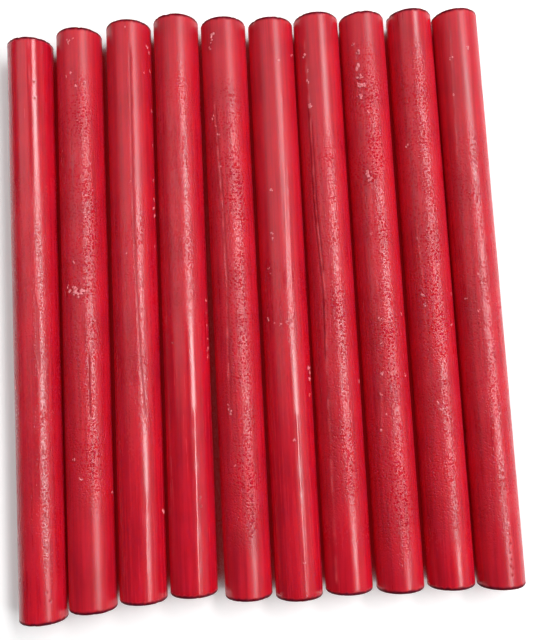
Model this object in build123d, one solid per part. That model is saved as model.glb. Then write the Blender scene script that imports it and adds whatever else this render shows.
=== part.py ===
from build123d import *

import os
from math import cos, radians, tan
from typing import NamedTuple

# Sizes in millimetres. Every stick in the row is cast to the same size.
stick_diameter = 11.0
stick_length = 136.5
rim_radius = 0.6

# Clear space left between two sticks that touch in the photo.
touching_gap = 0.2


class Place(NamedTuple):
    """How one stick lies in the row."""

    gap: float  # clear space to the stick on its left, at their tightest spot
    push: float  # how far it is pushed along its length, towards the photo's top
    lean: float  # degrees that its far end is turned to the right


# The row from left to right, as it lies in the photo.
row = [
    Place(gap=0.0, push=-2.4, lean=0.0),
    Place(gap=0.4, push=-0.6, lean=0.25),
    Place(gap=0.6, push=0.8, lean=0.5),
    Place(gap=0.6, push=1.7, lean=0.5),
    Place(gap=0.6, push=0.4, lean=0.1),
    Place(gap=0.6, push=-0.2, lean=0.1),
    Place(gap=touching_gap, push=0.5, lean=-0.05),
    Place(gap=0.25, push=0.2, lean=-0.3),
    Place(gap=0.75, push=0.3, lean=-0.3),
    Place(gap=touching_gap, push=-0.2, lean=-0.45),
]

stick_radius = stick_diameter / 2
half_length = stick_length / 2


def sideways(place, y):
    """How far right of its own centre a stick's axis runs at y."""
    return (y - place.push) * tan(radians(place.lean))


def half_width(place):
    """Half of a stick's width, measured straight across the row."""
    return stick_radius / cos(radians(place.lean))


def spacing(left, right):
    """Distance across the row from one stick's centre to the next one's."""
    near_end = max(left.push, right.push) - half_length
    far_end = min(left.push, right.push) + half_length
    tightest = max(sideways(left, y) - sideways(right, y) for y in (near_end, far_end))
    return tightest + half_width(left) + right.gap + half_width(right)


def stick_solid():
    """One stick along the Y axis, centred on the origin, with rounded rims."""
    bar = Rot(90, 0, 0) * Cylinder(stick_radius, stick_length)
    return fillet(bar.edges().filter_by(GeomType.CIRCLE), rim_radius)


def locations():
    """Where each stick's centre goes, with the row's box centred on the origin and resting on Z = 0."""
    across = 0.0
    found = []
    for number, place in enumerate(row):
        if number > 0:
            across += spacing(row[number - 1], place)
        found.append(Pos(across, place.push, stick_radius) * Rot(0, 0, -place.lean))
    stick = stick_solid()
    box = Compound(children=[where * stick for where in found]).bounding_box()
    to_centre = Pos(-box.center().X, -box.center().Y, 0)
    return [to_centre * where for where in found]


def main():
    os.makedirs("parts", exist_ok=True)
    stick = stick_solid()
    for number, where in enumerate(locations(), start=1):
        export_step(where * stick, f"parts/stick_{number:02d}.step")


if __name__ == "__main__":
    main()
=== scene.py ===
from dataclasses import dataclass, field
from math import pi, radians

import bmesh
import bpy
import numpy as np
from bpy.props import FloatProperty, FloatVectorProperty, IntProperty, PointerProperty
from mathutils import Matrix, Vector


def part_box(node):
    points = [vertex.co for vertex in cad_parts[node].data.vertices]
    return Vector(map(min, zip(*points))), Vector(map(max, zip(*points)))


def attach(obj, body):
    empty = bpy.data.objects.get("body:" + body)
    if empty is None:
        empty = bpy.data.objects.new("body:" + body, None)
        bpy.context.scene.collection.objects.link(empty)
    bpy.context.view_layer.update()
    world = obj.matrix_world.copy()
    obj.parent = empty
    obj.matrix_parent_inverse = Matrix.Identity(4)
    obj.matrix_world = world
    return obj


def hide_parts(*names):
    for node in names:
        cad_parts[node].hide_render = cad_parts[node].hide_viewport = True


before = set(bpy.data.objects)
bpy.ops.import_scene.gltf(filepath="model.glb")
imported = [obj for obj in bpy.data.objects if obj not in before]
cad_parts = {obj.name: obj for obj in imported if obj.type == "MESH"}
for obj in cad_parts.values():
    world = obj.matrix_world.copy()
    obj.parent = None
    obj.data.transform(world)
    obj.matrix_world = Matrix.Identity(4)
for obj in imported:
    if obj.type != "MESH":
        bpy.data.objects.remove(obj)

bl_info = {
    "name": "Sealing Wax Sticks",
    "version": (1, 0, 0),
    "blender": (4, 5, 0),
    "location": "View3D > Sidebar > Wax Sticks",
    "description": "Casts a row of loose sealing wax sticks round the packed solids",
    "category": "Object",
}

MM = 0.001
UP = np.array([0.0, 0.0, 1.0])
STICKS = sorted(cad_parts)


# What the sticks carry

@dataclass
class Line:
    """A mould line or a scored groove that runs along a stick."""

    path: list  # (mm along from the middle, degrees round from the top to the right)
    height: float  # mm, negative for a groove
    width: float = 0.3  # mm
    pale: float = 0.0  # how far its crest is painted pale as a painted highlight, from 0 to 1
    dark: float = 0.0  # how far its groove is painted darker as painted shade, from 0 to 1


@dataclass
class Marks:
    """How one stick's skin differs from the others."""

    pebbled: tuple  # the stretch with a pebbled skin, in mm along from the middle
    grain: float  # how strong its pebbles are, from 0 to 1
    satin: tuple = (0.0, 0.0)  # how dull its near and far ends are, from 0 to 1
    pits: list = field(default_factory=list)  # (mm along, degrees round)
    lines: list = field(default_factory=list)
    crumbs: list = field(default_factory=list)  # (mm along, degrees round, mm across)


MARKS = {
    "stick_01": Marks(
        pebbled=(-55, 30),
        grain=0.55,
        satin=(0.2, 0.0),
        pits=[(57, 24), (53, 25), (-30, 24), (-44, 25), (-61, 26), (-63, 32)],
        lines=[
            Line([(68, 12), (58, 14)], -0.06, pale=0.5),
            Line([(4, 16), (-8, 16)], -0.06, dark=0.5),
            Line([(2, 20), (-10, 20)], -0.06, dark=0.5),
            Line([(-20, 19), (-50, 13)], 0.06, 0.4),
        ],
        crumbs=[(-15, -50, 0.8), (-26, -47, 0.5), (38, -52, 0.5)],
    ),
    "stick_02": Marks(
        pebbled=(-45, 55),
        grain=0.9,
        satin=(0.7, 1.0),
        lines=[Line([(-11, 18), (-23, 18)], -0.08, dark=0.8)],
        crumbs=[
            (64.7, -13, 1.0), (65.1, -3, 0.6), (64.2, -17, 0.7), (56.7, -10, 0.7), (56.1, -21, 0.5),
            (54.5, 26, 0.8), (53.4, 2, 0.7), (11.4, -14, 0.6), (5.1, -24, 1.1), (4.5, -6, 1.7),
            (4.2, 8, 1.2), (5.9, -33, 0.7), (3.6, -1, 1.2), (5.4, -14, 0.9), (4.1, -18, 0.8),
            (-2.3, 33, 0.6), (-33.9, -27, 0.8), (-38.5, -5, 0.7), (-38, -10, 0.6), (-42, 74, 0.7),
        ],
    ),
    "stick_03": Marks(
        pebbled=(-30, 25),
        grain=0.5,
        satin=(0.1, 0.8),
        lines=[
            Line([(60, 12), (20, 10), (3, 13), (-15, 19), (-25, 26)], -0.08, 0.35, dark=0.5),
            Line([(-44, 23), (-60, 18)], 0.06, pale=0.4),
        ],
        crumbs=[
            (62.5, 60, 0.8), (61, 68, 0.8), (56.6, 70, 0.7), (55.5, 47, 0.5), (46.7, 74, 0.8),
            (38.2, 74, 0.7), (29.5, 74, 0.7), (24.8, 72, 0.9), (22.6, 70, 0.9), (21, 72, 0.8),
            (13.6, 70, 0.7), (28.3, 5, 0.5), (66, 3, 0.5), (11.3, -12, 0.5), (-48.4, 74, 0.9),
        ],
    ),
    "stick_04": Marks(
        pebbled=(-5, 55),
        grain=0.55,
        satin=(0.0, 1.0),
        pits=[(-48, 29), (-46, 27)],
        lines=[Line([(-28, 21), (-68, 17)], 0.08, 0.3, pale=0.25)],
        crumbs=[
            (-1, 70, 0.7), (-4, 70, 0.6), (-7, 71, 0.7), (-10, 72, 0.6), (-12.5, 72, 1.0), (-14, 71, 0.8),
            (-10.9, -30, 0.6),
        ],
    ),
    "stick_05": Marks(
        pebbled=(-55, 50),
        grain=1.0,
        satin=(0.5, 1.0),
        pits=[(-45, 21), (-47, 20), (-49, 19), (-51, 18), (-53, 17)],
        lines=[
            Line([(45, -30), (21, -20), (3, -19), (-13, -24), (-26, -26)], 0.12, 0.3, pale=0.9),
            Line([(45, -26), (21, -16), (3, -15), (-13, -20), (-26, -22)], -0.08, 0.3, dark=0.5),
        ],
        crumbs=[
            (63.7, -26, 1.1), (62.3, -31, 0.8), (60.6, -37, 0.9), (43.9, -37, 1.1), (41.5, -29, 0.5),
            (39.2, -22, 0.7), (31.2, -23, 0.8), (-25.4, -25, 0.9), (-26.6, -23, 0.6), (-24.2, -28, 0.6),
            (-38.2, -17, 0.5),
        ],
    ),
    "stick_06": Marks(
        pebbled=(-12, 12),
        grain=0.35,
        satin=(0.1, 0.8),
        lines=[
            Line([(48, 20), (21, 13), (6, 9)], 0.06, pale=0.3),
            Line([(30, 25), (20, 23), (4, 19)], 0.06, pale=0.2),
            Line([(-28, 14), (-67, 15)], 0.06, 0.25),
        ],
        crumbs=[
            (56.9, 13, 0.8), (59.5, 61, 0.8), (25.7, -21, 0.9), (15.6, -25, 0.7), (14.2, -22, 0.6),
            (7.2, -38, 0.6), (6.2, -34, 0.5), (-4.5, -46, 0.7), (-5.6, -30, 0.6), (-5.9, -14, 0.7),
            (-5.4, 2, 0.6), (-4.9, 14, 0.6), (-32.4, 6, 0.6), (-59.7, 14, 0.6), (-16.8, 62, 1.4),
            (-18.9, 63, 1.1), (-22.4, 60, 0.7),
        ],
    ),
    "stick_07": Marks(
        pebbled=(-52, 40),
        grain=0.75,
        satin=(0.0, 0.6),
        lines=[
            Line(
                [(60, -38), (44, -33), (20, -33), (1, -22), (-14, -27), (-29, -31), (-67, -36)],
                0.13, 0.3, pale=0.8,
            ),
            Line([(44, -37), (20, -37), (1, -26), (-14, -30)], -0.12, 0.3, dark=1.0),
            Line([(40, -29), (20, -29), (6, -22)], -0.10, 0.25, dark=1.0),
        ],
        crumbs=[
            (57.6, -38, 1.1), (54, -36, 1.0), (51, -34, 1.0), (44.8, -32, 1.3), (-20.5, 64, 0.8),
        ],
    ),
    "stick_08": Marks(
        pebbled=(-60, 58),
        grain=1.0,
        satin=(0.3, 1.0),
        pits=[(-18.6, -17), (-12, -15), (-15, -16), (-21, -20)],
        lines=[
            Line(
                [(60, -31), (47, -21), (28, -13), (14, -20), (-6, -13), (-24, -23), (-34, -30)],
                0.07, 0.35, pale=0.3,
            ),
        ],
        crumbs=[
            (60.2, -33, 0.8), (58, -24, 1.1), (54.5, -24, 1.4), (51.8, -23, 1.3), (50.4, -19, 1.5),
            (49.3, -22, 1.3), (47, -21, 1.2), (42.9, -5, 0.6), (28.1, -13, 1.5), (26.4, -14, 1.2),
            (13.8, -20, 0.5), (-6.3, -13, 0.8), (-11.9, -15, 0.6), (-18.6, -17, 0.8), (-23.6, -23, 0.7),
            (-28.2, -15, 0.8), (-5.1, 47, 0.7), (-19.3, 45, 0.7), (-31.8, -29, 0.8),
        ],
    ),
    "stick_09": Marks(
        pebbled=(-56, 57),
        grain=0.9,
        satin=(0.0, 0.3),
        lines=[Line([(14, -32), (3, -26), (-3, -26), (-8, -29)], 0.10, 0.3, pale=0.5)],
        crumbs=[
            (58.5, 5, 0.8), (34.7, -39, 0.8), (12.3, -31, 0.6), (-1.3, -27, 0.9), (-3.4, -26, 0.9),
            (-26, -13, 0.8), (-27.8, -5, 0.8), (-1.2, 56, 0.6), (-8.6, 43, 0.6),
        ],
    ),
    "stick_10": Marks(
        pebbled=(-58, 38),
        grain=0.7,
        satin=(0.5, 0.9),
        pits=[(-8, -18), (-9, -16), (-58, 14), (-60, 11), (-61.5, 13), (-63, 10), (-63.5, 15), (-65, 12)],
        lines=[Line([(62, -28), (47, -32), (30, -36)], 0.10, 0.3, pale=0.5)],
        crumbs=[
            (55.9, -29, 0.9), (57.9, 13, 0.8), (47, -31, 0.6), (35, 7, 1.0), (3.5, -10, 0.7),
            (-1.9, -44, 0.7), (-5, -15, 0.6), (-41.6, 12, 0.7), (-53.7, 13, 0.7),
        ],
    ),
}


# What a user may change

class WaxStickSettings(bpy.types.PropertyGroup):
    """Sizes and colours of the sticks."""

    rim_radius: FloatProperty(
        name="Rim radius",
        description="Rounding of a stick's rims",
        default=0.6 * MM,
        unit="LENGTH",
    )
    skin_inset: FloatProperty(
        name="Skin inset",
        description="How far the skin lies inside the solid",
        default=0.05 * MM,
        unit="LENGTH",
    )
    ring_spacing: FloatProperty(
        name="Ring spacing",
        description="Distance between rings of the mesh",
        default=0.27 * MM,
        unit="LENGTH",
    )
    segments: IntProperty(
        name="Segments",
        description="Points in one ring of the mesh",
        default=180,
        min=24,
    )
    pebble_size: FloatProperty(
        name="Pebble size",
        description="Width of one pebble of the skin",
        default=0.6 * MM,
        unit="LENGTH",
    )
    pebble_height: FloatProperty(
        name="Pebble height",
        description="Height of the strongest pebbles",
        default=0.012 * MM,
        unit="LENGTH",
    )
    pit_count: IntProperty(
        name="Pits",
        description="Pits in a fully pebbled stick",
        default=220,
        min=0,
    )
    wax_colour: FloatVectorProperty(
        name="Wax",
        description="Colour of the wax",
        subtype="COLOR",
        size=3,
        default=(0.72, 0.009, 0.035),
        min=0.0,
        max=1.0,
    )
    deep_colour: FloatVectorProperty(
        name="Deep wax",
        description="Colour of its darker clouds and streaks",
        subtype="COLOR",
        size=3,
        default=(0.56, 0.005, 0.025),
        min=0.0,
        max=1.0,
    )
    # Painted shade: the dark red painted into grooves, pits and the cut ends, where shade falls
    painted_shade_colour: FloatVectorProperty(
        name="Shade",
        description="Colour of shaded grooves and pits",
        subtype="COLOR",
        size=3,
        default=(0.36, 0.004, 0.016),
        min=0.0,
        max=1.0,
    )
    # Painted shade: the dark colour painted round the rims, where they turn away from the light
    rim_shade_colour: FloatVectorProperty(
        name="Rim",
        description="Colour of the darkened rims",
        subtype="COLOR",
        size=3,
        default=(0.10, 0.003, 0.014),
        min=0.0,
        max=1.0,
    )
    # Painted highlight: the pale pink painted along raised lines, where they would catch the light
    painted_highlight_colour: FloatVectorProperty(
        name="Highlight",
        description="Colour of scuffed lines",
        subtype="COLOR",
        size=3,
        default=(0.90, 0.14, 0.17),
        min=0.0,
        max=1.0,
    )
    crumb_colour: FloatVectorProperty(
        name="Crumbs",
        description="Colour of broken wax",
        subtype="COLOR",
        size=3,
        default=(0.98, 0.30, 0.33),
        min=0.0,
        max=1.0,
    )


class WaxStageSettings(bpy.types.PropertyGroup):
    """Floor and camera."""

    floor_size: FloatProperty(
        name="Floor",
        description="Width of the floor",
        default=3.0,
        unit="LENGTH",
    )
    floor_colour: FloatVectorProperty(
        name="Floor colour",
        description="Colour of the floor",
        subtype="COLOR",
        size=3,
        default=(0.98, 0.98, 0.98),
        min=0.0,
        max=1.0,
    )
    floor_lift: FloatVectorProperty(
        name="Floor lift",
        description="White added to the floor as the camera and reflections see it",
        subtype="COLOR",
        size=3,
        default=(0.25, 0.25, 0.25),
        min=0.0,
        max=1.0,
    )
    # Painted shade and painted red glow: the floor in the gaps is coloured dark red and glows it for the
    # camera, for shade and red light through the wax
    gap_shade_and_glow: FloatVectorProperty(
        name="Under the row",
        description="Dark red of the floor in the gaps, where the wax shades and reddens it",
        subtype="COLOR",
        size=3,
        default=(0.12, 0.001, 0.002),
        min=0.0,
        max=1.0,
    )
    lens: FloatProperty(
        name="Lens",
        description="Focal length in millimetres",
        default=40.0,
    )
    camera_place: FloatVectorProperty(
        name="Camera",
        description="Where the camera is",
        subtype="TRANSLATION",
        size=3,
        default=(0.36 * MM, -18.6 * MM, 174.2 * MM),
    )
    camera_turn: FloatProperty(
        name="Turn",
        description="The camera's turn about the vertical",
        default=radians(-2.923),
        subtype="ANGLE",
    )
    camera_pitch: FloatProperty(
        name="Pitch",
        description="How far it looks towards the far ends",
        default=radians(4.914),
        subtype="ANGLE",
    )
    camera_roll: FloatProperty(
        name="Roll",
        description="How far it is tilted sideways",
        default=radians(-0.406),
        subtype="ANGLE",
    )


# Where a stick lies

@dataclass
class Lie:
    """A stick's place: its middle, its unit vectors and its size in metres."""

    middle: np.ndarray
    along: np.ndarray
    right: np.ndarray
    radius: float
    length: float

    def points(self, along, around, radius):
        """World points for distances along, angles round from the top to the right, and radii."""
        sideways = (radius * np.sin(around))[..., None] * self.right
        upward = (radius * np.cos(around))[..., None] * UP
        return self.middle + np.asarray(along)[..., None] * self.along + sideways + upward


def lie_of(name, rim_radius):
    """Reads where a stick lies from its solid: the rings at its two rims give its axis."""
    low, high = (np.array(corner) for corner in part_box(name))
    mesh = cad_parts[name].data
    spots = np.empty(len(mesh.vertices) * 3)
    mesh.vertices.foreach_get("co", spots)
    spots = spots.reshape(-1, 3)
    rim_depth = 1.4 * rim_radius
    far = np.unique(spots[spots[:, 1] > high[1] - rim_depth].round(7), axis=0).mean(axis=0)
    near = np.unique(spots[spots[:, 1] < low[1] + rim_depth].round(7), axis=0).mean(axis=0)
    along = far - near
    along[2] = 0.0
    along /= np.linalg.norm(along)
    right = np.array([along[1], -along[0], 0.0])
    radius = (high[2] - low[2]) / 2
    middle = (low + high) / 2
    length = (high[1] - low[1] - 2 * radius * abs(along[0])) / along[1]
    return Lie(middle, along, right, radius, length)


# How the skin is shaped

STICK_SEED = 11
FACET_HEIGHT = 0.022 * MM
FACET_COUNTS = (3, 5, 7, 9, 12)  # how many there are round a stick
FACET_STRENGTHS = (0.3, 1.0)

# Random hills of the skin: how many there are along a stick and round it
SWELL_HEIGHT = 0.020 * MM
SWELL_CELLS = (9, 5)
RIPPLE_HEIGHT = 0.008 * MM
RIPPLE_CELLS = (40, 14)
PATCH_CELLS = (30, 8)
PATCHINESS = 0.35  # how far the pebbles weaken and strengthen from place to place
LINE_CELLS = (70, 30)
LINE_RAGGED = 0.4  # how far a line weakens and strengthens along its way
RIM_CELLS = (400, 60)

PEBBLE_FADE = 8 * MM  # half of the length over which pebbles begin and end
FINE_PEBBLES = 0.8
BROAD_PEBBLES = 0.4
BROAD_COUNT = 0.6  # broad pebbles for each fine one, along or round
PEBBLE_SINK = 0.4  # how far a pebbled skin lies below a smooth one
PIT_WIDTHS = (0.2, 0.42)  # mm, of the strewn pits
PIT_DEPTHS = (0.02, 0.06)  # mm, of the strewn pits
MARKED_PIT_WIDTH = 0.24 * MM
MARKED_PIT_DEPTH = 0.07 * MM
# Marked pits are sunk and also painted darker as painted shade
MARKED_PIT_SHADE = 0.9
LINE_END = 3 * MM  # length over which a line fades out past its ends
HIGHLIGHT_GAIN = 1.6  # painted highlights lie on the strongest parts of a line
HIGHLIGHT_CUT = 0.5

# Painted shade at a rim: full up to the first distance from the end and gone at the second
RIM_SHADE = (0.5 * MM, 1.0 * MM)
RIM_RAGGED = 0.15 * MM

# Nicks in the rims: full up to the first distance from the end and gone at the second
NICK_CELLS = (2, 50)
NICK_DEPTH = 0.35 * MM
NICK_REACH = (0.1 * MM, 1.2 * MM)
NICK_RARITY = 0.2

# The cut ends
CUT_RINGS = 12
CUT_DISH = 0.10 * MM
CUT_SCORE = 0.012 * MM
CUT_PITCHES = (0.9, 1.3)  # mm from score to score
CUT_WAVE = 0.8
# The cut ends carry a little painted shade and no painted highlight
CUT_VALUES = {"grain": 0.3, "satin": 0.7, "pale": 0.0, "painted_shade": 0.1, "rim": 0.0}


def ease(part):
    """Smooths a value that runs from 0 to 1."""
    return part * part * (3 - 2 * part)


def hills(rng, cells_along, cells_around, share_along, segments):
    """Smooth random hills from -1 to 1 on a ring grid. They close on themselves round the stick."""
    lattice = rng.uniform(-1, 1, (cells_along + 2, cells_around))
    row = share_along * cells_along
    column = np.arange(segments) / segments * cells_around
    row_cell = row.astype(int)
    column_cell = column.astype(int)
    next_column = (column_cell + 1) % cells_around
    row_part = ease(row - row_cell)[:, None]
    column_part = ease(column - column_cell)[None, :]

    def round_stick(cell):
        """The lattice's values round the stick, read from one of its rows for each ring."""
        here = lattice[cell][:, column_cell]
        beside = lattice[cell][:, next_column]
        return here * (1 - column_part) + beside * column_part

    return round_stick(row_cell) * (1 - row_part) + round_stick(row_cell + 1) * row_part


def fade(value, start, end):
    """0 before start, 1 after end, smooth between."""
    return ease(np.clip((value - start) / (end - start), 0, 1))


def angle_gap(a, b):
    """Smallest difference between two angles in radians."""
    return (a - b + pi) % (2 * pi) - pi


def near_line(along, around, radius, line):
    """How close each point of the skin is to a line: 1 on it, fading to 0 beside it and past its ends."""
    spots = sorted(line.path)
    stations = np.array([spot[0] for spot in spots]) * MM
    bearings = np.radians([spot[1] for spot in spots])
    centre = np.interp(along, stations, bearings)
    begun = fade(along, stations[0] - LINE_END, stations[0])
    ended = fade(along, stations[-1], stations[-1] + LINE_END)
    inside = begun * (1 - ended)
    offset = angle_gap(around[None, :], centre[:, None]) * radius
    return inside[:, None] * np.exp(-((offset / (line.width * MM)) ** 2))


def near_spot(along, around, radius, place, width):
    """How close each point of the skin is to a spot: 1 on it, fading to 0 over its width."""
    across = angle_gap(around, radians(place[1])) * radius
    lengthwise = along - place[0] * MM
    return np.exp(-((lengthwise / width) ** 2))[:, None] * np.exp(-((across / width) ** 2))[None, :]


def scattered_pits(rng, along, around, radius, chance, count):
    """Depths of small round pits, strewn where the skin is pebbled."""
    rings_reached = 6
    depth = np.zeros((len(along), len(around)))
    for _ in range(count):
        ring = rng.integers(0, len(along))
        bearing = rng.uniform(-pi, pi)
        width = rng.uniform(*PIT_WIDTHS) * MM
        deepest = rng.uniform(*PIT_DEPTHS) * MM
        if rng.uniform() > chance[ring]:
            continue
        reach = slice(max(ring - rings_reached, 0), ring + rings_reached + 1)
        across = angle_gap(around, bearing)[None, :] * radius
        lengthwise = (along[reach] - along[ring])[:, None]
        depth[reach] += deepest * np.exp(-(across**2 + lengthwise**2) / width**2)
    return depth


@dataclass
class Skin:
    """A barrel's skin on its grid of rings and segments."""

    height: np.ndarray  # how far each point stands out of a true cylinder
    values: dict  # what the finish reads at each point, by name, from 0 to 1


def barrel_skin(rng, marks, along, around, lie, settings):
    """Shapes one stick's skin: uneven casting, pebbles, pits and lines."""
    share = (along / lie.length) + 0.5
    turns = len(around)
    half = lie.length / 2
    pebbles_along = int(lie.length / settings.pebble_size)
    pebbles_around = int(2 * pi * lie.radius / settings.pebble_size)
    near, far = (edge * MM for edge in marks.pebbled)
    past_near = fade(along, near - PEBBLE_FADE, near + PEBBLE_FADE)
    past_far = fade(along, far - PEBBLE_FADE, far + PEBBLE_FADE)
    pebbled = marks.grain * past_near * (1 - past_far)
    facets = sum(
        rng.uniform(*FACET_STRENGTHS) / count * np.cos(count * around + rng.uniform(0, 2 * pi))
        for count in FACET_COUNTS
    )
    height = FACET_HEIGHT * facets[None, :] * np.ones((len(along), 1))
    height += SWELL_HEIGHT * hills(rng, *SWELL_CELLS, share, turns)
    height += RIPPLE_HEIGHT * hills(rng, *RIPPLE_CELLS, share, turns)
    patches = 1 - PATCHINESS + PATCHINESS * hills(rng, *PATCH_CELLS, share, turns)
    pebbles = hills(rng, pebbles_along, pebbles_around, share, turns)
    broad_cells = (int(BROAD_COUNT * pebbles_along), int(BROAD_COUNT * pebbles_around))
    broad_pebbles = hills(rng, *broad_cells, share, turns)
    grain = pebbled[:, None] * patches
    pebble_shape = FINE_PEBBLES * pebbles + BROAD_PEBBLES * broad_pebbles - PEBBLE_SINK
    height += settings.pebble_height * grain * pebble_shape
    height -= scattered_pits(rng, along, around, lie.radius, pebbled, settings.pit_count)
    pale = np.zeros_like(height)
    # Painted shade: grooves and pits are painted darker where shade falls in them
    painted_shade = np.zeros_like(height)
    ragged_rim = RIM_RAGGED * hills(rng, *RIM_CELLS, share, turns)
    # Painted shade round each rim, with a ragged edge
    rim = 1 - fade((half - np.abs(along))[:, None] + ragged_rim, *RIM_SHADE)
    for line in marks.lines:
        closeness = near_line(along, around, lie.radius, line)
        ragged = 1 - LINE_RAGGED + LINE_RAGGED * hills(rng, *LINE_CELLS, share, turns)
        height += line.height * MM * closeness * ragged
        # Painted highlight along the lines
        highlit = np.clip(HIGHLIGHT_GAIN * ragged - HIGHLIGHT_CUT, 0, 1)
        pale = np.maximum(pale, line.pale * closeness * highlit)
        painted_shade = np.maximum(painted_shade, line.dark * closeness**2)
    for pit in marks.pits:
        closeness = near_spot(along, around, lie.radius, pit, MARKED_PIT_WIDTH)
        height -= MARKED_PIT_DEPTH * closeness
        painted_shade = np.maximum(painted_shade, MARKED_PIT_SHADE * closeness)
    near_satin, far_satin = marks.satin
    satin = near_satin * (1 - past_near) + far_satin * past_far
    satin = satin[:, None] * np.ones((1, turns))
    values = {"grain": grain, "satin": satin, "pale": pale, "painted_shade": painted_shade, "rim": rim}
    return Skin(np.minimum(height, settings.skin_inset), values)


def barrel_profile(lie, rim_radius, ring_spacing):
    """Distances along and radii of a stick's rings, from rim to rim."""
    rings_in_rim = 7
    turn = np.linspace(0, pi / 2, rings_in_rim)
    half = lie.length / 2
    rim_along = -half + rim_radius * (1 - np.sin(turn))[::-1]
    rim_radii = lie.radius - rim_radius * (1 - np.cos(turn))[::-1]
    middle_rings = int((lie.length - 2 * rim_radius) / ring_spacing)
    barrel = np.linspace(-half + rim_radius, half - rim_radius, middle_rings)[1:-1]
    along = np.concatenate([rim_along, barrel, -rim_along[::-1]])
    radii = np.concatenate([rim_radii, np.full(len(barrel), lie.radius), rim_radii[::-1]])
    return along, radii


def cap_rings(rng, lie, rim_radius, around, side):
    """Rings of one cut end, from the rim in: (distances along, radii), each a ring by segment grid."""
    shares = np.linspace(1, 0, CUT_RINGS + 1)[1:-1]
    flat = lie.radius - rim_radius
    radii = shares[:, None] * flat * np.ones((1, len(around)))
    across = radii * np.sin(around)[None, :]
    upward = radii * np.cos(around)[None, :]
    turn = rng.uniform(0, pi)
    cut = across * np.cos(turn) + upward * np.sin(turn)
    pitch = rng.uniform(*CUT_PITCHES) * MM
    dish = CUT_DISH * (1 - shares[:, None] ** 2)
    scores = CUT_SCORE * (1 + np.sin(2 * pi * cut / pitch + CUT_WAVE * np.sin(cut / MM)))
    along = side * (lie.length / 2 - dish - scores * (1 - shares[:, None] ** 6))
    return along, radii


def stick_mesh(name, lie, marks, settings):
    """One stick as a closed grid of rings with a cut face at each end."""
    rng = np.random.default_rng(STICKS.index(name) + STICK_SEED)
    around = np.arange(settings.segments) / settings.segments * 2 * pi
    along, radii = barrel_profile(lie, settings.rim_radius, settings.ring_spacing)
    skin = barrel_skin(rng, marks, along, around, lie, settings)
    radius = radii[:, None] - settings.skin_inset + skin.height
    nick_rows = np.array([0.25, 0.75])
    nicks = np.maximum(hills(rng, *NICK_CELLS, nick_rows, settings.segments) - NICK_RARITY, 0)
    for end, nick in zip((-1, 1), nicks):
        closeness = 1 - fade(np.abs(along - end * lie.length / 2), *NICK_REACH)
        radius -= NICK_DEPTH * closeness[:, None] * nick[None, :]
    rings = [lie.points(along[:, None] * np.ones_like(radius), around[None, :], radius)]
    for side in (-1, 1):
        cap_along, cap_radii = cap_rings(rng, lie, settings.rim_radius, around, side)
        cap = lie.points(cap_along, around[None, :], cap_radii)
        if side < 0:
            rings.insert(0, cap[::-1])
        else:
            rings.append(cap)
    values = {}
    for key, cut_value in CUT_VALUES.items():
        cut = np.full((len(rings[0]), settings.segments), cut_value)
        values[key] = np.concatenate([cut, skin.values[key], cut])
    return closed_mesh(name, np.concatenate(rings), values)


def closed_mesh(name, rings, values):
    """Joins rings of points into quads, closes both ends with fans and stores the values of each point."""
    count, segments, _ = rings.shape
    ends = np.stack([rings[0].mean(axis=0), rings[-1].mean(axis=0)])
    points = np.concatenate([rings.reshape(-1, 3), ends])
    this = np.arange(segments)
    after = (this + 1) % segments
    first_points = (np.arange(count - 1) * segments)[:, None]
    start = first_points + this[None, :]
    following = first_points + after[None, :]
    quads = np.stack([start, following, following + segments, start + segments], axis=-1).reshape(-1, 4)
    near_middle = count * segments
    near_fan = np.stack([np.full(segments, near_middle), after, this], axis=-1)
    last = (count - 1) * segments
    far_fan = np.stack([np.full(segments, near_middle + 1), last + this, last + after], axis=-1)
    mesh = bpy.data.meshes.new(name)
    mesh.from_pydata(points.tolist(), [], quads.tolist() + near_fan.tolist() + far_fan.tolist())
    mesh.polygons.foreach_set("use_smooth", np.ones(len(mesh.polygons), dtype=bool))
    for key, value in values.items():
        flat = np.concatenate([value.ravel(), [value[0, 0], value[-1, 0]]])
        mesh.attributes.new(key, "FLOAT", "POINT").data.foreach_set("value", flat.astype(np.float32))
    mesh.update()
    return mesh


# Crumbs

CRUMB_SEED = 71
CHIPS_IN_CRUMB = 3
CHIP_CORNERS = 12
CHIP_WIDTHS = (0.3, 0.6)  # shares of its crumb's size
CHIP_SHIFT = 0.45  # share of its crumb's size
CHIP_FLATNESS = 0.4  # thickness as a share of the width
THICKEST_CHIP = 0.22 * MM


def add_chip(build, rng, lie, along, bearing, width):
    """Adds one flat broken chip that is half sunk into the skin."""
    outward = np.sin(bearing) * lie.right + np.cos(bearing) * UP
    sideways = np.cross(lie.along, outward)
    thickness = min(CHIP_FLATNESS * width, THICKEST_CHIP)
    seat = lie.middle + along * lie.along + (lie.radius - 0.1 * thickness) * outward
    corners = []
    for _ in range(CHIP_CORNERS):
        spot = rng.normal(size=3)
        spot *= rng.uniform(0.6, 1.0) / np.linalg.norm(spot)
        flat = width * spot[0] * lie.along + 0.8 * width * spot[1] * sideways
        corners.append(build.verts.new(seat + flat + thickness * spot[2] * outward))
    hull = bmesh.ops.convex_hull(build, input=corners)
    spare = [part for part in hull["geom_interior"] if isinstance(part, bmesh.types.BMVert)]
    bmesh.ops.delete(build, geom=spare, context="VERTS")


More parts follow.
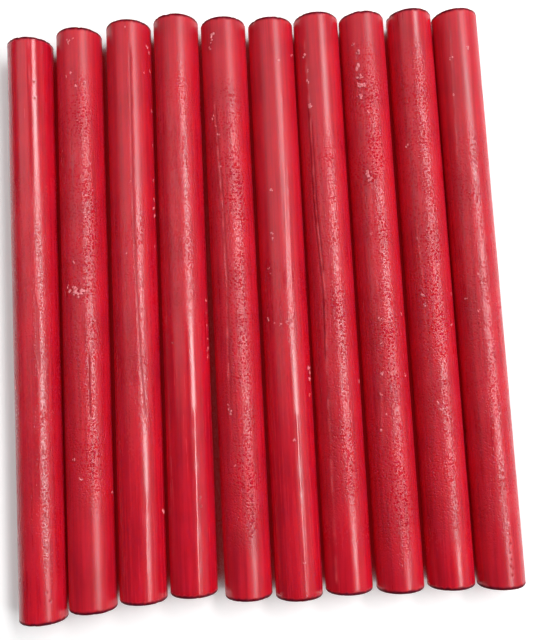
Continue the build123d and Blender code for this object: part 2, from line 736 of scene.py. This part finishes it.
def crumb_mesh(name, lie, crumbs):
    """A stick's crumbs as small broken chips, each sunk a little into the skin."""
    rng = np.random.default_rng(STICKS.index(name) + CRUMB_SEED)
    build = bmesh.new()
    for along, around, size in crumbs:
        for _ in range(CHIPS_IN_CRUMB):
            shift = CHIP_SHIFT * size * rng.uniform(-1, 1, 2)
            width = size * rng.uniform(*CHIP_WIDTHS) * MM
            bearing = radians(around) + shift[1] * MM / lie.radius
            add_chip(build, rng, lie, (along + shift[0]) * MM, bearing, width)
    bmesh.ops.recalc_face_normals(build, faces=build.faces)
    mesh = bpy.data.meshes.new(f"crumbs_{name}")
    build.to_mesh(mesh)
    build.free()
    return mesh


# Nodes of the finishes

def new_material(name):
    """An empty node material with its output and surface shader."""
    material = bpy.data.materials.new(name)
    material.use_nodes = True
    tree = material.node_tree
    tree.nodes.clear()
    output = tree.nodes.new("ShaderNodeOutputMaterial")
    shader = tree.nodes.new("ShaderNodeBsdfPrincipled")
    tree.links.new(shader.outputs["BSDF"], output.inputs["Surface"])
    return material, tree, shader


def noise(tree, place, scale, detail):
    """A noise texture's value at the given place."""
    texture = tree.nodes.new("ShaderNodeTexNoise")
    texture.inputs["Scale"].default_value = scale
    texture.inputs["Detail"].default_value = detail
    texture.inputs["Roughness"].default_value = 0.5
    tree.links.new(place, texture.inputs["Vector"])
    return texture.outputs["Fac"]


def ramp(tree, value, stops):
    """A colour ramp through (place, colour) stops."""
    node = tree.nodes.new("ShaderNodeValToRGB")
    points = node.color_ramp.elements
    while len(points) < len(stops):
        points.new(0.5)
    for point, (place, colour) in zip(points, stops):
        point.position = place
        point.color = (*colour, 1.0)
    tree.links.new(value, node.inputs["Fac"])
    return node.outputs["Color"]


def spread(tree, value, low, high, to_low, to_high):
    """Maps a value from one range to another."""
    node = tree.nodes.new("ShaderNodeMapRange")
    for key, number in (("From Min", low), ("From Max", high), ("To Min", to_low), ("To Max", to_high)):
        node.inputs[key].default_value = number
    tree.links.new(value, node.inputs["Value"])
    return node.outputs["Result"]


def attribute(tree, name):
    """A value stored on the mesh."""
    node = tree.nodes.new("ShaderNodeAttribute")
    node.attribute_name = name
    return node.outputs["Fac"]


def blend(tree, share, first, second):
    """Mixes a colour, plain or from a socket, with a plain second colour by a share from 0 to 1."""
    node = tree.nodes.new("ShaderNodeMix")
    node.data_type = "RGBA"
    tree.links.new(share, node.inputs["Factor"])
    if isinstance(first, bpy.types.NodeSocket):
        tree.links.new(first, node.inputs["A"])
    else:
        node.inputs["A"].default_value = (*first, 1.0)
    node.inputs["B"].default_value = (*second, 1.0)
    return node.outputs["Result"]


def combine(tree, operation, first, second):
    """One step of arithmetic on two values."""
    node = tree.nodes.new("ShaderNodeMath")
    node.operation = operation
    tree.links.new(first, node.inputs[0])
    if isinstance(second, (int, float)):
        node.inputs[1].default_value = second
    else:
        tree.links.new(second, node.inputs[1])
    return node.outputs["Value"]


def times(tree, first, second):
    """Two values multiplied."""
    return combine(tree, "MULTIPLY", first, second)


def plus(tree, first, second):
    """Two values added."""
    return combine(tree, "ADD", first, second)


def larger(tree, first, second):
    """The larger of two values."""
    return combine(tree, "MAXIMUM", first, second)


# Finishes of the wax

# How fine its patterns are, in cells per metre
CLOUD_SCALE = 110.0
STREAK_SCALE = 1500.0
PEBBLE_SCALE = 3500.0
PIT_SCALE = 1600.0
CRUMB_SCALE = 1800.0
STREAK_SQUEEZE = (1.0, 0.03, 1.0)  # draws the streaks out along the sticks
NOISE_RANGE = (0.3, 0.7)  # where most of a noise's values lie

# How far the clouds and the streaks go into the colour, and where it turns from deep to plain
CLOUD_SHARE = 0.4
STREAK_SHARE = 0.6
DEEP_BELOW = 0.38
PLAIN_ABOVE = 0.58

PIT_EDGE = (0.30, 0.42)  # from the middle of a cell, in shares of its size
# How far the strewn pits are painted darker as painted shade
PIT_SHADE = 0.05

# The fine relief, in shares of its depth
RELIEF_DEPTH = 0.2 * MM
SMOOTH_GRAIN = 0.05
PEBBLED_GRAIN = 0.80
PIT_RELIEF = 0.4
STREAK_RELIEF = 0.06

# How rough the gloss is
GLOSSY = 0.23
SATIN = 0.42
STREAK_ROUGHNESS = (-0.03, 0.05)
PEBBLE_ROUGHNESS = 0.14
HOLLOW_ROUGHNESS = 0.4
HOLLOW_SHEEN = (0.15, 0.0, 0.0)  # what is left of the gloss in pits and in the painted-shade grooves and rims
WHITE = (1.0, 1.0, 1.0)

# Broken wax: where its colour turns from red to pale, and how rough it is
CRUMB_RED_BELOW = 0.25
CRUMB_PALE_ABOVE = 0.5
CRUMB_ROUGHNESS = (0.3, 0.55)


def wax_patterns(tree):
    """What the wax is mixed from, by name: the values stored on the mesh, and patterns."""
    found = {name: attribute(tree, name) for name in CUT_VALUES}
    place = tree.nodes.new("ShaderNodeTexCoord").outputs["Object"]
    squeezed = tree.nodes.new("ShaderNodeMapping")
    squeezed.inputs["Scale"].default_value = STREAK_SQUEEZE
    tree.links.new(place, squeezed.inputs["Vector"])
    found["clouds"] = noise(tree, place, CLOUD_SCALE, detail=4.0)
    found["streaks"] = noise(tree, squeezed.outputs["Vector"], STREAK_SCALE, detail=3.0)
    found["pebbles"] = noise(tree, place, PEBBLE_SCALE, detail=1.0)
    cells = tree.nodes.new("ShaderNodeTexVoronoi")
    cells.inputs["Scale"].default_value = PIT_SCALE
    tree.links.new(place, cells.inputs["Vector"])
    found["pit"] = times(tree, spread(tree, cells.outputs["Distance"], *PIT_EDGE, 1.0, 0.0), found["grain"])
    found["hollow"] = larger(tree, larger(tree, found["pit"], found["painted_shade"]), found["rim"])
    return found


def wax_colour(tree, found, settings):
    """The wax's colour: clouds and streaks, then painted shade in pits, grooves and round the rims, and
    painted highlights along lines, over them.
    """
    painted_shade = tuple(settings.painted_shade_colour)
    clouds = times(tree, found["clouds"], CLOUD_SHARE)
    streaks = times(tree, found["streaks"], STREAK_SHARE)
    stops = [(DEEP_BELOW, tuple(settings.deep_colour)), (PLAIN_ABOVE, tuple(settings.wax_colour))]
    colour = ramp(tree, plus(tree, clouds, streaks), stops)
    # Painted shade in the strewn pits, then in the grooves and marked pits
    colour = blend(tree, times(tree, found["pit"], PIT_SHADE), colour, painted_shade)
    colour = blend(tree, found["painted_shade"], colour, painted_shade)
    # Painted shade round the rims
    colour = blend(tree, found["rim"], colour, tuple(settings.rim_shade_colour))
    # Painted highlights along the lines
    return blend(tree, found["pale"], colour, tuple(settings.painted_highlight_colour))


def wax_relief(tree, found):
    """The grain that is finer than the mesh: pebbles, pits and streaks."""
    strength = spread(tree, found["grain"], 0.0, 1.0, SMOOTH_GRAIN, PEBBLED_GRAIN)
    relief = times(tree, found["pebbles"], strength)
    relief = combine(tree, "SUBTRACT", relief, times(tree, found["pit"], PIT_RELIEF))
    relief = plus(tree, times(tree, found["streaks"], STREAK_RELIEF), relief)
    bump = tree.nodes.new("ShaderNodeBump")
    bump.inputs["Strength"].default_value = 1.0
    bump.inputs["Distance"].default_value = RELIEF_DEPTH
    tree.links.new(relief, bump.inputs["Height"])
    return bump.outputs["Normal"]


def wax_roughness(tree, found):
    """How rough the gloss is: least on smooth wax, more at dull ends, on pebbles and in hollows."""
    dull = spread(tree, found["satin"], 0.0, 1.0, GLOSSY, SATIN)
    dull = plus(tree, dull, spread(tree, found["streaks"], *NOISE_RANGE, *STREAK_ROUGHNESS))
    dull = plus(tree, dull, times(tree, found["grain"], PEBBLE_ROUGHNESS))
    return plus(tree, dull, times(tree, found["hollow"], HOLLOW_ROUGHNESS))


def wax_finish(settings):
    """Cast wax: cloudy red with a thin gloss, grainy where it is pebbled, with painted shade in its hollows
    and round its rims and painted highlights along its lines.
    """
    material, tree, shader = new_material("red_wax_skin")
    found = wax_patterns(tree)
    tree.links.new(wax_colour(tree, found, settings), shader.inputs["Base Color"])
    tree.links.new(wax_relief(tree, found), shader.inputs["Normal"])
    tree.links.new(wax_roughness(tree, found), shader.inputs["Roughness"])
    # Pits and the painted-shade grooves and rims keep little gloss, which keeps them dark in the highlights
    tree.links.new(blend(tree, found["hollow"], WHITE, HOLLOW_SHEEN), shader.inputs["Specular Tint"])
    shader.inputs["Specular IOR Level"].default_value = 0.8
    shader.inputs["IOR"].default_value = 1.46
    shader.inputs["Subsurface Weight"].default_value = 1.0
    shader.inputs["Subsurface Radius"].default_value = (1.0, 0.10, 0.08)
    shader.inputs["Subsurface Scale"].default_value = 3.5 * MM
    return material


def crumb_finish(settings):
    """Broken wax: paler and rougher than the skin."""
    material, tree, shader = new_material("red_wax_crumb")
    place = tree.nodes.new("ShaderNodeTexCoord").outputs["Object"]
    clouds = noise(tree, place, CRUMB_SCALE, detail=3.0)
    red = tuple(settings.wax_colour)
    pale = tuple(settings.crumb_colour)
    stops = [(CRUMB_RED_BELOW, red), (CRUMB_PALE_ABOVE, pale)]
    tree.links.new(ramp(tree, clouds, stops), shader.inputs["Base Color"])
    tree.links.new(spread(tree, clouds, *NOISE_RANGE, *CRUMB_ROUGHNESS), shader.inputs["Roughness"])
    return material


# Pieces

def add_piece(name, mesh, body, material, node=None):
    """Links a mesh as a piece of the object, riding on a body."""
    piece = bpy.data.objects.new(name, mesh)
    bpy.context.scene.collection.objects.link(piece)
    mesh.materials.append(material)
    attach(piece, body)
    if node:
        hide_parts(node)
    return piece


class WAX_OT_cast_sticks(bpy.types.Operator):
    """Casts every stick of the row over its solid"""

    bl_idname = "wax.cast_sticks"
    bl_label = "Cast Sticks"

    def execute(self, context):
        settings = context.scene.wax_sticks
        material = wax_finish(settings)
        for name in STICKS:
            lie = lie_of(name, settings.rim_radius)
            mesh = stick_mesh(name, lie, MARKS[name], settings)
            add_piece(f"cast_{name}", mesh, name, material, node=name)
        return {"FINISHED"}


class WAX_OT_scatter_crumbs(bpy.types.Operator):
    """Sets the crumbs of broken wax on each stick"""

    bl_idname = "wax.scatter_crumbs"
    bl_label = "Scatter Crumbs"

    def execute(self, context):
        settings = context.scene.wax_sticks
        material = crumb_finish(settings)
        for name in STICKS:
            lie = lie_of(name, settings.rim_radius)
            mesh = crumb_mesh(name, lie, MARKS[name].crumbs)
            add_piece(f"crumbs_{name}", mesh, name, material)
        return {"FINISHED"}


# Stage

@dataclass
class Lamp:
    """A soft rectangular lamp that faces a target. Its places and sizes are in metres."""

    name: str
    place: tuple
    target: tuple
    width: float
    height: float
    strength: float  # its brightness beside a white surface's 1


LAMPS = [
    Lamp("window", (0.47, 0.12, 0.77), (0.0, 0.0, 0.005), width=0.9, height=0.20, strength=14.0),
    Lamp("left_panel", (-0.38, 0.30, 0.70), (0.0, 0.30, 0.0), width=0.60, height=0.80, strength=1.06),
    Lamp("right_panel", (0.752, 0.10, 0.274), (0.0, 0.10, 0.0), width=1.0, height=0.43, strength=0.4),
]
WORLD_LIGHT = 0.04  # how bright the world is on the object. The camera sees it white.

# Gaps between the sticks, where the floor gets painted dark red shade and a painted red glow: how far the
# wax is looked for, and how open the floor is in a gap and outside
GAP_REACH = 12 * MM
GAP_OPENNESS = (0.3, 0.6)

# Far from the row the camera sees a white floor: metres from the middle, and the lift there
FAR_FLOOR = (0.25, 0.8)
FAR_LIFT = 4.0


def floor_finish(settings):
    """A pale floor that keeps the shadow, lifted towards white for the camera, with painted dark red shade
    and a painted red glow in the gaps.
    """
    material, tree, shader = new_material("pale_floor")
    shader.inputs["Roughness"].default_value = 0.9
    shader.inputs["Specular IOR Level"].default_value = 0.1
    openness = tree.nodes.new("ShaderNodeAmbientOcclusion")
    openness.samples = 8
    openness.inputs["Distance"].default_value = GAP_REACH
    outside = spread(tree, openness.outputs["AO"], *GAP_OPENNESS, 0.0, 1.0)
    # Painted shade: the floor's colour turns dark red in the gaps
    colour = blend(tree, outside, settings.gap_shade_and_glow, settings.floor_colour)
    tree.links.new(colour, shader.inputs["Base Color"])
    # Painted red glow: the gaps glow dark red for camera and glossy rays
    lift = blend(tree, outside, settings.gap_shade_and_glow, settings.floor_lift)
    tree.links.new(lift, shader.inputs["Emission Color"])
    path = tree.nodes.new("ShaderNodeLightPath").outputs
    seen = larger(tree, path["Is Camera Ray"], path["Is Glossy Ray"])
    seen = larger(tree, seen, path["Is Transmission Ray"])
    reach = tree.nodes.new("ShaderNodeVectorMath")
    reach.operation = "LENGTH"
    tree.links.new(tree.nodes.new("ShaderNodeTexCoord").outputs["Object"], reach.inputs[0])
    distant = spread(tree, reach.outputs["Value"], *FAR_FLOOR, 0.0, FAR_LIFT)
    distant = times(tree, distant, path["Is Camera Ray"])
    tree.links.new(plus(tree, seen, distant), shader.inputs["Emission Strength"])
    return material


def lay_floor(scene, settings):
    """A square floor under the row."""
    half = settings.floor_size / 2
    corners = [(-half, -half, 0), (half, -half, 0), (half, half, 0), (-half, half, 0)]
    mesh = bpy.data.meshes.new("floor")
    mesh.from_pydata(corners, [], [(0, 1, 2, 3)])
    mesh.materials.append(floor_finish(settings))
    floor = bpy.data.objects.new("floor", mesh)
    scene.collection.objects.link(floor)


def set_world(scene):
    """A faint even light all round, which the camera sees as white."""
    world = bpy.data.worlds.new("studio")
    world.use_nodes = True
    tree = world.node_tree
    background = tree.nodes["Background"]
    background.inputs["Color"].default_value = (*WHITE, 1.0)
    path = tree.nodes.new("ShaderNodeLightPath").outputs
    shown = spread(tree, path["Is Camera Ray"], 0.0, 1.0, WORLD_LIGHT, 1.0)
    tree.links.new(shown, background.inputs["Strength"])
    scene.world = world


def set_lamp(scene, lamp):
    """Puts up one lamp."""
    light = bpy.data.lights.new(lamp.name, "AREA")
    light.shape = "RECTANGLE"
    light.size = lamp.width
    light.size_y = lamp.height
    light.energy = lamp.strength * pi * lamp.width * lamp.height
    holder = bpy.data.objects.new(lamp.name, light)
    holder.location = lamp.place
    facing = Vector(lamp.target) - Vector(lamp.place)
    holder.rotation_euler = facing.to_track_quat("-Z", "Y").to_euler()
    scene.collection.objects.link(holder)


def set_camera(scene, settings):
    """Puts the camera where the photo was taken from."""
    camera = bpy.data.cameras.new("camera")
    camera.lens = settings.lens
    camera.clip_start = 5 * MM
    holder = bpy.data.objects.new("camera", camera)
    turn = Matrix.Rotation(settings.camera_turn, 4, "Z")
    pitch = Matrix.Rotation(settings.camera_pitch, 4, "X")
    roll = Matrix.Rotation(settings.camera_roll, 4, "Y")
    holder.matrix_world = Matrix.Translation(settings.camera_place) @ turn @ pitch @ roll
    scene.collection.objects.link(holder)
    scene.camera = holder


class WAX_OT_set_stage(bpy.types.Operator):
    """Lays the floor and sets the lamps and the camera"""

    bl_idname = "wax.set_stage"
    bl_label = "Set Stage"

    def execute(self, context):
        scene = context.scene
        settings = scene.wax_stage
        scene.view_settings.view_transform = "Standard"
        lay_floor(scene, settings)
        set_world(scene)
        for lamp in LAMPS:
            set_lamp(scene, lamp)
        set_camera(scene, settings)
        return {"FINISHED"}


class WAX_PT_sticks(bpy.types.Panel):
    """Lists the steps that build the row"""

    bl_idname = "WAX_PT_sticks"
    bl_label = "Wax Sticks"
    bl_space_type = "VIEW_3D"
    bl_region_type = "UI"
    bl_category = "Wax Sticks"

    def draw(self, context):
        for operator in (WAX_OT_cast_sticks, WAX_OT_scatter_crumbs, WAX_OT_set_stage):
            self.layout.operator(operator.bl_idname)


CLASSES = (
    WaxStickSettings,
    WaxStageSettings,
    WAX_OT_cast_sticks,
    WAX_OT_scatter_crumbs,
    WAX_OT_set_stage,
    WAX_PT_sticks,
)


def register():
    for each in CLASSES:
        bpy.utils.register_class(each)
    bpy.types.Scene.wax_sticks = PointerProperty(type=WaxStickSettings)
    bpy.types.Scene.wax_stage = PointerProperty(type=WaxStageSettings)


def unregister():
    del bpy.types.Scene.wax_stage
    del bpy.types.Scene.wax_sticks
    for each in reversed(CLASSES):
        bpy.utils.unregister_class(each)


def main():
    register()
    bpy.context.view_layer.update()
    bpy.ops.wax.cast_sticks()
    bpy.ops.wax.scatter_crumbs()
    bpy.ops.wax.set_stage()


if __name__ == "__main__":
    main()
